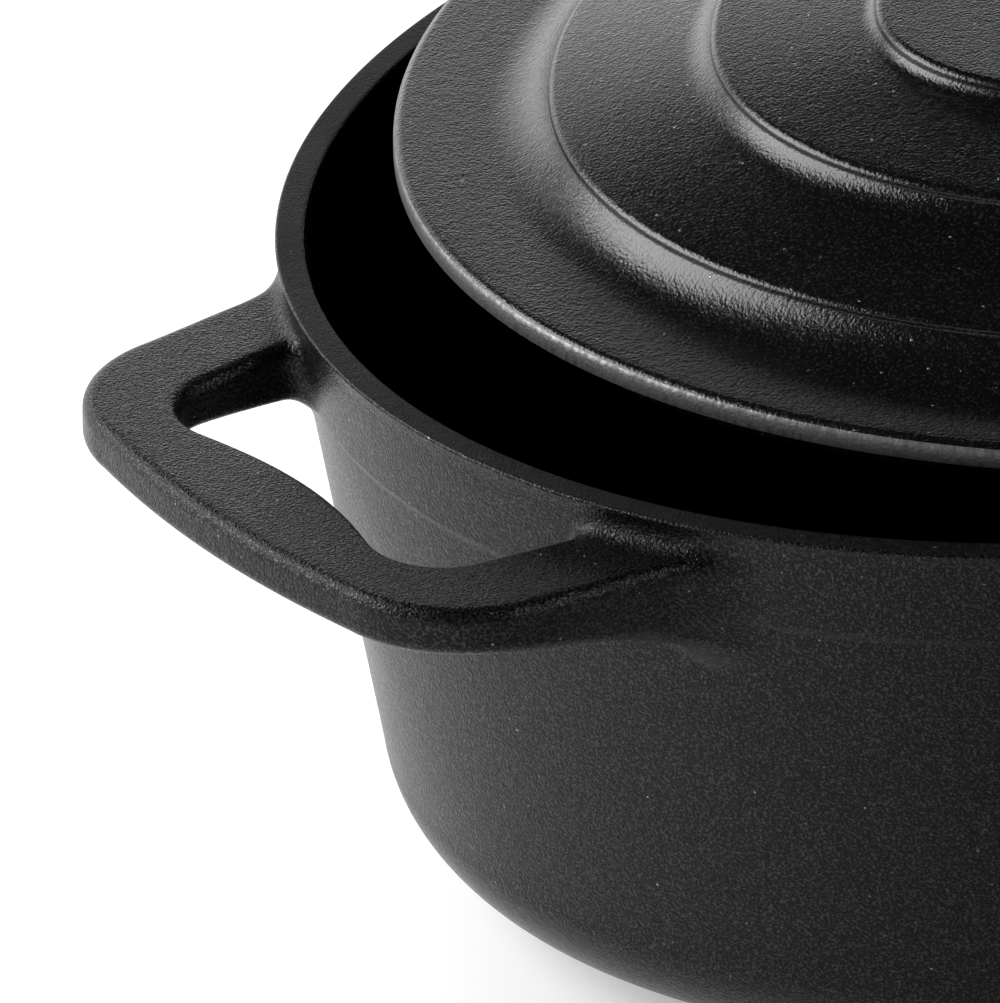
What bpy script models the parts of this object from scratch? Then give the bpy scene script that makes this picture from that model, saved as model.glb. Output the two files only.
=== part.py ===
"""Oval cast iron roaster: a pot cast in one with two loop handles, and its stepped lid set down ajar.

The pot and the lid are lofts of ovals. Length runs along X, through both handles, and Z is up from the
flat base. The lid is built round its own centre, with Z = 0 at the underside of its flange, and hangs on an
empty that stands where the lid lies.
"""

import math

import bmesh
import bpy
from mathutils import Vector

# Pot wall
RIM_LENGTH = 0.3200
RIM_WIDTH = 0.2588
RIM_THICKNESS = 0.0049
RIM_EDGE_RADIUS = 0.0006
POT_HEIGHT = 0.1104
WALL_DRAFT = 0.19
BAND_DEPTH = 0.0172
BAND_STEP = 0.0006
BAND_STEP_HEIGHT = 0.0016
FLOOR_THICKNESS = 0.0052
BASE_ROUND_HEIGHT = 0.0225
BASE_ROUND_REACH = 0.0325

# Loop handles. The two outlines are seen from above on the +X side: how far the front stands out from
# the rim's end on the X axis and at its corner, half its breadth there, and the underside's drop in the arms.
HANDLE_DROP = 0.0054
HANDLE_THICKNESS = 0.0082
HANDLE_TOP_RADIUS = 0.0025
HANDLE_BOTTOM_RADIUS = 0.0022
UNDERSIDE_POWER = 2.3
OUTER_OUTLINE = {"front": 0.0376, "corner": 0.0296, "half_breadth": 0.0543, "radius": 0.0240,
                 "splay": math.radians(5.0), "run": 0.045, "drop": 0.0090}
INNER_OUTLINE = {"front": 0.0178, "corner": 0.0280, "half_breadth": 0.0357, "radius": 0.0120,
                 "splay": math.radians(6.6), "run": 0.034, "drop": 0.0022}

# Fillets that blend an arm into the wall
ROOT_OUTER_RADIUS = 0.0080
ROOT_INNER_RADIUS = 0.0055
ROOT_BOTTOM_RADIUS = 0.0050
ROOT_TOP_RADIUS = 0.0036
ROOT_DEPTH_IN_WALL = 0.0020
ROOT_FEATHER = 0.00015

# Lid
LID_END_OVERHANG = -0.0004
LID_SIDE_OVERHANG = 0.0016
LID_EDGE_HEIGHT = 0.0043
LID_EDGE_RADIUS = 0.0012
LID_THICKNESS = 0.0045
LID_CENTRE_THICKNESS = 0.0050
LID_CENTRE_HEIGHT = 0.0286
LID_CENTRE_INSET = 0.0980
LID_SIDE_RATE = 1.06
STEP_STEEPEST = math.radians(58.0)
STEP_SHOULDER_RADIUS = 0.0022
STEP_1 = {"inset": 0.0251, "height": 0.0110, "hollow": 0.0135, "slope": 2.0}
STEP_2 = {"inset": 0.0513, "height": 0.0209, "hollow": 0.0085, "slope": 15.0}
STEP_3 = {"inset": 0.0782, "height": 0.0271, "hollow": 0.0055, "slope": 8.0}
CENTRE_SLOPE = 2.0
LIP_DEPTH = 0.0050
LIP_WIDTH = 0.0042
LIP_SIDE_CLEARANCE = 0.0015
LIP_DRAFT = 0.0006

# Where the lid lies: across the rim, on its lip, towards the far handle
LID_SHIFT_X = 0.0262
LID_SHIFT_Y = 0.0031
SEAT_GAP = 0.0003

# Knob and its fixing
KNOB_HEIGHT = 0.0290
KNOB_HEAD_RADIUS = 0.0200
KNOB_NECK_RADIUS = 0.0080
KNOB_FOOT_RADIUS = 0.0130
KNOB_FOOT_HEIGHT = 0.0030
KNOB_HEAD_DEPTH = 0.0095
KNOB_BORE_DEPTH = 0.0150
SCREW_SHANK_RADIUS = 0.0028
SCREW_RUNNING_CLEARANCE = 0.0004
SCREW_ENGAGEMENT = 0.0120
SCREW_HEAD_RADIUS = 0.0058
SCREW_HEAD_HEIGHT = 0.0034
SCREW_SOCKET_ACROSS_FLATS = 0.0040
SCREW_SOCKET_DEPTH = 0.0020
WASHER_RADIUS = 0.0080
WASHER_THICKNESS = 0.0012

# Facets
POT_SEGMENTS = 80
LID_SEGMENTS = 64
TURNED_SEGMENTS = 32
CORNER_POINTS = 4
FRONT_POINTS = 6
GRIP_CORNER_POINTS = 9
SMOOTH_ANGLE = math.radians(38.0)

OBJECT_NAME = "oval_roaster"


def clear_scene():
    """Remove what the new file came with."""
    for old in list(bpy.data.objects):
        bpy.data.objects.remove(old, do_unlink=True)


def new_collection(name):
    collection = bpy.data.collections.new(name)
    bpy.context.scene.collection.children.link(collection)
    return collection


def new_material(name, colour, roughness, metallic):
    material = bpy.data.materials.new(name)
    material.use_nodes = True
    shader = material.node_tree.nodes["Principled BSDF"]
    shader.inputs["Base Color"].default_value = (*colour, 1.0)
    shader.inputs["Roughness"].default_value = roughness
    shader.inputs["Metallic"].default_value = metallic
    return material


def add_object(name, mesh, collection, material=None, parent=None):
    made = bpy.data.objects.new(name, mesh)
    collection.objects.link(made)
    made.parent = parent
    if material:
        mesh.materials.append(material)
    return made


def loft(name, rings):
    """A closed mesh through rings of equal point count, with a flat face on the first and on the last."""
    bm = bmesh.new()
    loops = [[bm.verts.new(point) for point in ring] for ring in rings]
    for lower, upper in zip(loops, loops[1:]):
        for i in range(len(lower)):
            j = (i + 1) % len(lower)
            bm.faces.new((lower[i], lower[j], upper[j], upper[i]))
    bm.faces.new(loops[0])
    bm.faces.new(loops[-1])
    bmesh.ops.recalc_face_normals(bm, faces=bm.faces)
    mesh = bpy.data.meshes.new(name)
    bm.to_mesh(mesh)
    bm.free()
    return mesh


def shade_smooth(made):
    made.data.shade_smooth()
    made.data.set_sharp_from_angle(angle=SMOOTH_ANGLE)


def oval(half_length, half_width, z, segments):
    """The points of one level oval, counted from +X."""
    turns = [2.0 * math.pi * i / segments for i in range(segments)]
    return [Vector((half_length * math.cos(t), half_width * math.sin(t), z)) for t in turns]


def spread(first, last, count):
    """Evenly spaced values from first to last, both included."""
    return [first + (last - first) * i / (count - 1) for i in range(count)]


def eased(first, last, share):
    """A value between first and last that leaves and arrives gently."""
    return first + (last - first) * share * share * (3.0 - 2.0 * share)


def wall_inset(z):
    """How far the outer wall lies inside the rim's outer edge at a height. The band is proud of the wall."""
    depth = POT_HEIGHT - z
    below_band = (depth - BAND_DEPTH) / BAND_STEP_HEIGHT
    return WALL_DRAFT * depth + eased(0.0, BAND_STEP, min(max(below_band, 0.0), 1.0))


def cavity_inset(z):
    """The same for the inner wall, which has no band."""
    return RIM_THICKNESS + WALL_DRAFT * (POT_HEIGHT - z)


def rounded_base(inset_at_wall, reach, floor_z, count):
    """(inset, z) from the flat of the base up round its corner to the wall."""
    height = BASE_ROUND_HEIGHT - floor_z
    points = []
    for angle in spread(math.pi / 2.0, 0.0, count):
        lean = 0.5 * WALL_DRAFT * height * math.sin(angle)
        inset = inset_at_wall + lean + (reach - 0.5 * WALL_DRAFT * height) * (1.0 - math.cos(angle))
        points.append((inset, BASE_ROUND_HEIGHT - height * math.sin(angle)))
    return points


def pot_profile():
    """(inset, z) from the underside, up the outside, over the rim and down to the inner floor."""
    outer_foot = wall_inset(BASE_ROUND_HEIGHT)
    inner_foot = cavity_inset(BASE_ROUND_HEIGHT)
    band_edge = POT_HEIGHT - BAND_DEPTH
    outside = rounded_base(outer_foot, BASE_ROUND_REACH, 0.0, 8)
    for z in (spread(BASE_ROUND_HEIGHT, band_edge - BAND_STEP_HEIGHT, 3)[1:]
              + [band_edge - 0.5 * BAND_STEP_HEIGHT, band_edge]):
        outside.append((wall_inset(z), z))
    rim = []
    for angle in spread(0.0, math.pi / 2.0, 3):
        rise = POT_HEIGHT - RIM_EDGE_RADIUS * (1.0 - math.sin(angle))
        rim.append((RIM_EDGE_RADIUS * (1.0 - math.cos(angle)), rise))
    for angle in spread(math.pi / 2.0, 0.0, 3):
        rise = POT_HEIGHT - RIM_EDGE_RADIUS * (1.0 - math.sin(angle))
        rim.append((RIM_THICKNESS - RIM_EDGE_RADIUS * (1.0 - math.cos(angle)), rise))
    inner_reach = BASE_ROUND_REACH - (inner_foot - outer_foot)
    inside = rounded_base(inner_foot, inner_reach, FLOOR_THICKNESS, 7)
    return outside + rim + inside[::-1]


def make_pot_bowl():
    rings = []
    for inset, z in pot_profile():
        rings.append(oval(RIM_LENGTH / 2.0 - inset, RIM_WIDTH / 2.0 - inset, z, POT_SEGMENTS))
    return loft("pot_body", rings)


def wall_point(turn, stand_off, z):
    """A point this far outside the pot's wall, at an angle parameter of its oval."""
    inset = wall_inset(z) - stand_off
    half_length, half_width = RIM_LENGTH / 2.0 - inset, RIM_WIDTH / 2.0 - inset
    return Vector((half_length * math.cos(turn), half_width * math.sin(turn), z))


def grip_edge(outline):
    """One side of the loop seen from above, from the X axis round the corner: points, and the arm's line.

    The front of the grip bows from the axis to the sharp corner that the fillet rounds off, and the arm runs
    back from there, splayed outwards. Its line is returned as a point and a direction.
    """
    reach = RIM_LENGTH / 2.0 + outline["front"]
    corner_x = RIM_LENGTH / 2.0 + outline["corner"]
    corner_y = outline["half_breadth"]
    radius = outline["radius"]

    def front(y):
        return Vector((reach + (corner_x - reach) * (y / corner_y) ** 2, y))

    arm = Vector((-math.cos(outline["splay"]), math.sin(outline["splay"])))
    start_y = corner_y - radius
    along = (front(start_y + 0.0001) - front(start_y)).normalized()
    gap = Vector((corner_x, corner_y)) - front(start_y)
    reach_to_corner = (gap.x * arm.y - gap.y * arm.x) / (along.x * arm.y - along.y * arm.x)
    apex = front(start_y) + along * reach_to_corner
    turn = math.acos(max(-1.0, min(1.0, along.dot(arm))))
    tangent = radius * math.tan(turn / 2.0)
    first = apex - along * tangent
    centre = first + Vector((-along.y, along.x)) * radius
    points = [front(y) for y in spread(0.0, first.y, FRONT_POINTS)[:-1]]
    start = first - centre
    for angle in spread(0.0, turn, GRIP_CORNER_POINTS):
        cos, sin = math.cos(angle), math.sin(angle)
        points.append(centre + Vector((start.x * cos - start.y * sin, start.x * sin + start.y * cos)))
    return points, (points[-1], arm)


def turn_on_line(line, stand_off, z):
    """The oval parameter at which an arm's line meets the surface that stands this far off the wall."""
    point, along = line
    low, high = 0.0, math.pi / 2.0
    for _ in range(40):
        middle = (low + high) / 2.0
        here = wall_point(middle, stand_off, z).to_2d() - point
        if along.x * here.y - along.y * here.x < 0.0:
            high = middle
        else:
            low = middle
    return (low + high) / 2.0


def flare(radius, stand_off):
    """How much a fillet of this radius widens the arm at a distance from the wall."""
    if stand_off >= radius:
        return 0.0
    return radius - math.sqrt(max(radius * radius - (radius - stand_off) ** 2, 0.0))


def underside(outer_x, inner_x):
    """Heights of the handle's underside at its outer and inner edge. It deepens towards the pot."""
    level = POT_HEIGHT - HANDLE_DROP - HANDLE_THICKNESS
    lows = []
    for outline, x in ((OUTER_OUTLINE, outer_x), (INNER_OUTLINE, inner_x)):
        corner_x = RIM_LENGTH / 2.0 + outline["corner"]
        share = max(corner_x - x, 0.0) / outline["run"]
        lows.append(level - outline["drop"] * share ** UNDERSIDE_POWER)
    return lows


def section_shape(width, lows, flares=(0.0, 0.0, 0.0, 0.0)):
    """(across, z) round an arm or the grip, from the top of its outer edge down and round to the inner top.

    The flares widen it at its outer side, top, inner side and bottom, and its corners grow with them, so
    that the fillet runs round the arm's root without a point.
    """
    outer, upper, inner, lower = flares
    outer_low, inner_low = lows
    top = POT_HEIGHT - HANDLE_DROP
    high, low = HANDLE_TOP_RADIUS, HANDLE_BOTTOM_RADIUS
    corners = (
        (width - high, top - high, high + outer, high + upper, 90.0),
        (width - low, outer_low + low, low + outer, low + lower, 0.0),
        (low, inner_low + low, low + inner, low + lower, -90.0),
        (high, top - high, high + inner, high + upper, -180.0),
    )
    shape = []
    for across, z, aside, aloft, start in corners:
        for angle in spread(start, start - 90.0, CORNER_POINTS):
            turned = math.radians(angle)
            shape.append((across + aside * math.cos(turned), z + aloft * math.sin(turned)))
    return shape


def straight_section(outer, inner):
    """A section of the loop between two points of its outline."""
    across = outer - inner
    along = across.normalized()
    ring = []
    for reach, z in section_shape(across.length, underside(outer.x, inner.x)):
        place = inner + along * reach
        ring.append(Vector((place.x, place.y, z)))
    return ring


def root_section(outer_line, inner_line, stand_off):
    """A section of the arm that follows the wall, widened all round by the fillets."""
    off = max(stand_off, ROOT_FEATHER)
    level = POT_HEIGHT - HANDLE_DROP - HANDLE_THICKNESS / 2.0
    outer_turn = turn_on_line(outer_line, off, level)
    inner_turn = turn_on_line(inner_line, off, level)
    outer_place = wall_point(outer_turn, off, level)
    inner_place = wall_point(inner_turn, off, level)
    width = (outer_place - inner_place).length
    per_turn = width / (outer_turn - inner_turn)
    radii = (ROOT_OUTER_RADIUS, ROOT_TOP_RADIUS, ROOT_INNER_RADIUS, ROOT_BOTTOM_RADIUS)
    flares = [flare(radius, off) for radius in radii]
    ring = []
    for reach, z in section_shape(width, underside(outer_place.x, inner_place.x), flares):
        ring.append(wall_point(inner_turn + reach / per_turn, stand_off, z))
    return ring


def make_handle():
    """One loop on the +X side, from inside the wall, along an arm, round the grip and back."""
    outer, outer_line = grip_edge(OUTER_OUTLINE)
    inner, inner_line = grip_edge(INNER_OUTLINE)
    half = [straight_section(o, i) for o, i in zip(outer, inner)]
    level = POT_HEIGHT - HANDLE_DROP - HANDLE_THICKNESS / 2.0
    clear_off = ROOT_OUTER_RADIUS
    outer_end = wall_point(turn_on_line(outer_line, clear_off, level), clear_off, level).to_2d()
    inner_end = wall_point(turn_on_line(inner_line, clear_off, level), clear_off, level).to_2d()
    # The arm's sections turn little by little from upright and straight to leaning and curved as the wall is.
    root = root_section(outer_line, inner_line, clear_off)
    lean = [there - here for there, here in zip(root, straight_section(outer_end, inner_end))]
    for share in (0.25, 0.5, 0.75):
        plain = straight_section(outer[-1].lerp(outer_end, share), inner[-1].lerp(inner_end, share))
        half.append([point + eased(0.0, 1.0, share) * shift for point, shift in zip(plain, lean)])
    for share in (1.0, 0.72, 0.49, 0.31, 0.17, 0.07):
        half.append(root_section(outer_line, inner_line, share * clear_off))
    half.append(root_section(outer_line, inner_line, ROOT_FEATHER))
    half.append(root_section(outer_line, inner_line, -ROOT_DEPTH_IN_WALL))
    other_half = [[Vector((p.x, -p.y, p.z)) for p in ring] for ring in half[1:]]
    return loft("handle", half[::-1] + other_half)


def join(target, pieces, helpers):
    """Fuse pieces with the target, which are one casting, and bake the result into its mesh."""
    for piece in pieces:
        helper = add_object(piece.name, piece, helpers)
        helper.hide_render = True
        helper.display_type = "WIRE"
        shade_smooth(helper)
        union = target.modifiers.new("join_" + helper.name, "BOOLEAN")
        union.operation = "UNION"
        union.solver = "EXACT"
        union.object = helper


def make_pot(collection, helpers, material):
    pot = add_object("pot_body", make_pot_bowl(), collection, material)
    right = make_handle()
    left = right.copy()
    left.name = "handle_left"
    left.transform(((-1, 0, 0, 0), (0, -1, 0, 0), (0, 0, 1, 0), (0, 0, 0, 1)))
    join(pot, (right, left), helpers)
    shade_smooth(pot)
    even = pot.modifiers.new("even_shading", "WEIGHTED_NORMAL")
    even.keep_sharp = True
    return pot


def step_points(step, slope_after):
    """(inset, height) up one step of the lid: a hollow flank, then a small rounded shoulder."""
    before = math.radians(step["slope"])
    after = math.radians(slope_after)
    steep_sin, steep_cos = math.sin(STEP_STEEPEST), math.cos(STEP_STEEPEST)
    points = []
    for angle in spread(before, STEP_STEEPEST, 5):
        inset = step["inset"] - step["hollow"] * (steep_sin - math.sin(angle))
        points.append((inset, step["height"] - step["hollow"] * (math.cos(angle) - steep_cos)))
    for angle in spread(STEP_STEEPEST, after, 4)[1:]:
        inset = step["inset"] + STEP_SHOULDER_RADIUS * (steep_sin - math.sin(angle))
        points.append((inset, step["height"] + STEP_SHOULDER_RADIUS * (math.cos(angle) - steep_cos)))
    return points


def under_step_points(above, step, slope_after):
    """(inset, height) of the underside below a step, a wall's thickness down and with softer bends."""
    ends = []
    for (inset, height), slope in ((above[0], step["slope"]), (above[-1], slope_after)):
        lean = math.radians(slope)
        ends.append((inset + LID_THICKNESS * math.sin(lean), height - LID_THICKNESS * math.cos(lean)))
    (low_inset, low), (high_inset, high) = ends
    return [(low_inset + (high_inset - low_inset) * share, eased(low, high, share))
            for share in (0.0, 0.33, 0.67, 1.0)]


def lid_oval(inset, z):
    """An oval of the lid. Going inwards, its sides close in a little faster than its ends."""
    return oval(RIM_LENGTH / 2.0 + LID_END_OVERHANG - inset,
                RIM_WIDTH / 2.0 + LID_SIDE_OVERHANG - LID_SIDE_RATE * inset, z, LID_SEGMENTS)


def lip_oval(inset, z):
    """An oval of the lid's lip, measured inwards from the pot's mouth."""
    mouth = RIM_THICKNESS + LIP_SIDE_CLEARANCE + inset
    return oval(RIM_LENGTH / 2.0 - mouth, RIM_WIDTH / 2.0 - mouth, z, LID_SEGMENTS)


def make_lid_shell():
    """The lid from the middle of its top, out over the steps, round the edge and lip, and back underneath."""
    steps = ((STEP_1, STEP_2["slope"]), (STEP_2, STEP_3["slope"]), (STEP_3, CENTRE_SLOPE))
    over, under = [], []
    for step, slope_after in steps:
        above = step_points(step, slope_after)
        over += above
        under += under_step_points(above, step, slope_after)
    over.append((LID_CENTRE_INSET, LID_CENTRE_HEIGHT))
    under.append((LID_CENTRE_INSET, LID_CENTRE_HEIGHT - LID_CENTRE_THICKNESS))
    edge = []
    for angle in spread(math.pi / 2.0, 0.0, 4):
        edge.append((LID_EDGE_RADIUS * (1.0 - math.cos(angle)),
                     LID_EDGE_HEIGHT - LID_EDGE_RADIUS * (1.0 - math.sin(angle))))
    edge.append((0.0, RIM_EDGE_RADIUS))
    edge.append((RIM_EDGE_RADIUS, 0.0))
    lip = ((0.0, 0.0), (LIP_DRAFT, -LIP_DEPTH + RIM_EDGE_RADIUS), (LIP_DRAFT + RIM_EDGE_RADIUS, -LIP_DEPTH),
           (LIP_WIDTH - LIP_DRAFT - RIM_EDGE_RADIUS, -LIP_DEPTH),
           (LIP_WIDTH - LIP_DRAFT, -LIP_DEPTH + RIM_EDGE_RADIUS), (LIP_WIDTH, 0.0))
    rings = [lid_oval(inset, z) for inset, z in over[::-1] + edge]
    rings += [lip_oval(inset, z) for inset, z in lip]
    rings += [lid_oval(inset, z) for inset, z in under]
    return loft("lid", rings)


def cut(target, cutter, cutters):
    """Take a cutter's volume out of the target."""
    cutter.hide_render = True
    cutter.display_type = "WIRE"
    for other in cutter.users_collection:
        other.objects.unlink(cutter)
    cutters.objects.link(cutter)
    difference = target.modifiers.new("cut_" + cutter.name, "BOOLEAN")
    difference.operation = "DIFFERENCE"
    difference.solver = "EXACT"
    difference.object = cutter


def cylinder(name, radius, low, high, segments, parent):
    bpy.ops.mesh.primitive_cylinder_add(vertices=segments, radius=radius, depth=high - low,
                                        location=(0.0, 0.0, (low + high) / 2.0))
    made = bpy.context.object
    made.name = name
    made.parent = parent
    return made


def make_lid(collection, cutters, material, pose):
    lid = add_object("lid", make_lid_shell(), collection, material, pose)
    hole = cylinder("screw_hole", SCREW_SHANK_RADIUS + SCREW_RUNNING_CLEARANCE,
                    0.0, LID_CENTRE_HEIGHT + KNOB_FOOT_HEIGHT, TURNED_SEGMENTS, pose)
    cut(lid, hole, cutters)
    shade_smooth(lid)
    return lid


def turned(name, profile, collection, material, parent, closed=False):
    """A turned piece: (radius, z) down the outer side, spun about Z."""
    mesh = bpy.data.meshes.new(name)
    count = len(profile)
    edges = [(i, i + 1) for i in range(count - 1)]
    if closed:
        edges.append((count - 1, 0))
    mesh.from_pydata([(radius, 0.0, z) for radius, z in profile], edges, [])
    made = add_object(name, mesh, collection, material, parent)
    spin = made.modifiers.new("turn", "SCREW")
    spin.steps = TURNED_SEGMENTS
    spin.render_steps = TURNED_SEGMENTS
    spin.use_merge_vertices = True
    spin.merge_threshold = 0.00001
    spin.use_smooth_shade = True
    return made


def make_knob(collection, material, pose):
    """A mushroom knob with a threaded blind bore, standing on the flat of the lid."""
    foot = LID_CENTRE_HEIGHT + SEAT_GAP
    top = foot + KNOB_HEIGHT
    head_low = top - KNOB_HEAD_DEPTH
    dome_radius = (KNOB_HEAD_RADIUS ** 2 + (KNOB_HEAD_DEPTH * 0.5) ** 2) / KNOB_HEAD_DEPTH
    dome_spread = math.asin(KNOB_HEAD_RADIUS / dome_radius)
    profile = []
    for angle in spread(0.0, dome_spread, 6):
        profile.append((dome_radius * math.sin(angle), top - dome_radius * (1.0 - math.cos(angle))))
    for share in (0.25, 0.5, 0.75, 1.0):
        profile.append((KNOB_HEAD_RADIUS - (KNOB_HEAD_RADIUS - KNOB_NECK_RADIUS) * share ** 2,
                        top - 0.5 * KNOB_HEAD_DEPTH * (1.0 + share ** 0.6)))
    waist_low = foot + KNOB_FOOT_HEIGHT
    for share in (0.35, 0.7, 0.9, 1.0):
        profile.append((eased(KNOB_NECK_RADIUS, KNOB_FOOT_RADIUS, share ** 3),
                        head_low + (waist_low - head_low) * share))
    bore = SCREW_SHANK_RADIUS + SCREW_RUNNING_CLEARANCE
    profile += [(KNOB_FOOT_RADIUS, foot + RIM_EDGE_RADIUS), (KNOB_FOOT_RADIUS - RIM_EDGE_RADIUS, foot),
                (bore, foot), (bore, foot + KNOB_BORE_DEPTH), (0.0, foot + KNOB_BORE_DEPTH + bore / 2.0)]
    return turned("lid_knob", profile, collection, material, pose)


def make_washer(collection, material, pose):
    top = LID_CENTRE_HEIGHT - LID_CENTRE_THICKNESS - SEAT_GAP
    bottom = top - WASHER_THICKNESS
    inner = SCREW_SHANK_RADIUS + SCREW_RUNNING_CLEARANCE
    profile = [(inner, top), (WASHER_RADIUS, top), (WASHER_RADIUS, bottom), (inner, bottom)]
    return turned("knob_washer", profile, collection, material, pose, closed=True)


def make_screw(collection, cutters, material, pose):
    """A cap screw from below: shank up through washer and lid into the knob, domed head with a socket."""
    head_top = LID_CENTRE_HEIGHT - LID_CENTRE_THICKNESS - WASHER_THICKNESS - 2.0 * SEAT_GAP
    head_low = head_top - SCREW_HEAD_HEIGHT
    shank_top = LID_CENTRE_HEIGHT + SEAT_GAP + SCREW_ENGAGEMENT
    chamfer = 0.3 * SCREW_SHANK_RADIUS
    profile = [(0.0, shank_top), (SCREW_SHANK_RADIUS - chamfer, shank_top),
               (SCREW_SHANK_RADIUS, shank_top - chamfer), (SCREW_SHANK_RADIUS, head_top),
               (SCREW_HEAD_RADIUS, head_top)]
    for angle in spread(0.0, math.pi / 2.0, 5):
        across = 0.6 + 0.4 * math.cos(angle)
        down = 0.35 + 0.65 * math.sin(angle)
        profile.append((SCREW_HEAD_RADIUS * across, head_top - SCREW_HEAD_HEIGHT * down))
    profile.append((0.0, head_low))
    screw = turned("knob_screw", profile, collection, material, pose)
    socket_radius = SCREW_SOCKET_ACROSS_FLATS / math.sqrt(3.0)
    socket = cylinder("screw_socket", socket_radius, head_low - SCREW_SOCKET_DEPTH,
                      head_low + SCREW_SOCKET_DEPTH, 6, pose)
    cut(screw, socket, cutters)
    return screw


def main():
    clear_scene()
    parts = new_collection(OBJECT_NAME)
    helpers = new_collection(OBJECT_NAME + "_cutters")
    helpers.hide_render = True
    iron = new_material("seasoned_cast_iron", (0.016, 0.016, 0.016), 0.55, 0.0)
    lid_iron = new_material("seasoned_cast_iron_lid", (0.018, 0.018, 0.018), 0.52, 0.0)
    knob_iron = new_material("blackened_iron_knob", (0.014, 0.014, 0.014), 0.45, 0.0)
    steel = new_material("stainless_steel", (0.55, 0.55, 0.53), 0.35, 1.0)
    make_pot(parts, helpers, iron)
    pose = bpy.data.objects.new("lid_pose", None)
    parts.objects.link(pose)
    pose.location = (LID_SHIFT_X, LID_SHIFT_Y, POT_HEIGHT + LIP_DEPTH + SEAT_GAP)
    make_lid(parts, helpers, lid_iron, pose)
    make_knob(parts, knob_iron, pose)
    make_washer(parts, steel, pose)
    make_screw(parts, helpers, steel, pose)


main()
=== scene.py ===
"""Looks for an oval cast iron roaster: a sand-cast pot with two loop handles, its stepped lid set down ajar.

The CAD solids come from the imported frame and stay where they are. The two castings and the turned pieces are
made again here with finer meshes and softer blends, in the same places, and stand for their nodes.
"""

import math

import bpy
import numpy as np
from mathutils import Matrix, Vector


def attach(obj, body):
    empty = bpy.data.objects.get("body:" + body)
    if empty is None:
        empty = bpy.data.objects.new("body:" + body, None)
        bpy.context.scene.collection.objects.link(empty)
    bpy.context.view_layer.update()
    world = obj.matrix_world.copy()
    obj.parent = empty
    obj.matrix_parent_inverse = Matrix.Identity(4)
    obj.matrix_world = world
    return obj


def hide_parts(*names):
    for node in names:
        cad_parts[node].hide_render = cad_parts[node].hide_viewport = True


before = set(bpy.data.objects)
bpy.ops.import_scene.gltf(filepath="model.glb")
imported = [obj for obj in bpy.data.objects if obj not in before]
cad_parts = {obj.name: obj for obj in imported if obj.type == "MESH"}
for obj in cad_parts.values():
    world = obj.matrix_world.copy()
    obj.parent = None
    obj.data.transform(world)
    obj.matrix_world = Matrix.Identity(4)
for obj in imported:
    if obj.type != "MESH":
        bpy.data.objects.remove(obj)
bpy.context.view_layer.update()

MM = 0.001

# Pot, in millimetres, as the CAD has it
RIM_HALF_LENGTH = 160.0
RIM_HALF_WIDTH = 129.4
RIM_THICKNESS = 4.9
RIM_EDGE_RADIUS = 0.55
POT_HEIGHT = 110.4
WALL_DRAFT = 0.19
BAND_DEPTH = 17.2
BAND_STEP = 0.6
BAND_STEP_HEIGHT = 1.6
FLOOR_THICKNESS = 5.2
BASE_ROUND_HEIGHT = 22.5
BASE_ROUND_REACH = 32.5

# Loop handles
HANDLE_DROP = 5.4
HANDLE_THICKNESS = 8.2
HANDLE_TOP_RADIUS = 2.5
HANDLE_BOTTOM_RADIUS = 2.2
UNDERSIDE_POWER = 2.3
OUTER_OUTLINE = {"front": 37.6, "corner": 29.6, "half_breadth": 54.3, "radius": 24.0,
                 "splay": math.radians(5.0), "run": 45.0, "drop": 9.0}
INNER_OUTLINE = {"front": 17.8, "corner": 28.0, "half_breadth": 35.7, "radius": 12.0,
                 "splay": math.radians(6.6), "run": 34.0, "drop": 2.2}
ROOT_OUTER_RADIUS = 8.0
ROOT_INNER_RADIUS = 5.5
ROOT_BOTTOM_RADIUS = 5.0
ROOT_TOP_RADIUS = 3.6

# Lid
LID_END_OVERHANG = -0.4
LID_SIDE_OVERHANG = 1.6
LID_EDGE_HEIGHT = 4.3
LID_EDGE_RADIUS = 1.6
LID_THICKNESS = 4.5
LID_CENTRE_THICKNESS = 5.0
LID_CENTRE_HEIGHT = 28.6
LID_CENTRE_INSET = 98.0
LID_SIDE_RATE = 1.06
STEP_STEEPEST = math.radians(58.0)
STEP_SHOULDER_RADIUS = 1.6
RISER_RADIUS = 0.8
RISER_STEEPEST = math.radians(100.0)
STEPS = (
    {"inset": 25.1, "height": 11.0, "hollow": 13.5, "slope": 2.0},
    {"inset": 51.3, "height": 20.9, "hollow": 8.5, "slope": 15.0},
    {"inset": 78.2, "height": 27.1, "hollow": 4.4, "slope": 9.0},
)
CENTRE_SLOPE = 2.0
LIP_DEPTH = 5.0
LIP_WIDTH = 4.2
LIP_SIDE_CLEARANCE = 1.5
LIP_DRAFT = 0.6
LID_PLACE = (26.2, 3.1, 115.7)
SEAT_GAP = 0.3

# Knob and its fixing
KNOB_HEIGHT = 29.0
KNOB_HEAD_RADIUS = 20.0
KNOB_NECK_RADIUS = 8.0
KNOB_FOOT_RADIUS = 13.0
KNOB_FOOT_HEIGHT = 3.0
KNOB_HEAD_DEPTH = 9.5
SCREW_SHANK_RADIUS = 2.8
SCREW_HOLE_RADIUS = 3.2
SCREW_HEAD_RADIUS = 5.8
SCREW_HEAD_HEIGHT = 3.4
SCREW_SOCKET_RADIUS = 2.31
SCREW_SOCKET_DEPTH = 2.0
WASHER_RADIUS = 8.0
WASHER_THICKNESS = 1.2
WASHER_BEVEL = 0.15
KNOB_BORE_DEPTH = 15.0
DRILL_POINT = 1.6
SHANK_RISE = 12.0
SHANK_CHAMFER = 0.8
SOCKET_POINT = 0.6

# Mesh fineness
POT_TURNS = 384
LID_TURNS = 420
KNOB_TURNS = 96
CORNER_POINTS = 9
FLAT_POINTS = 8
# The end of a turned piece, which keeps a little width so that no face is without area
POINT_RADIUS = 0.01

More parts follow.
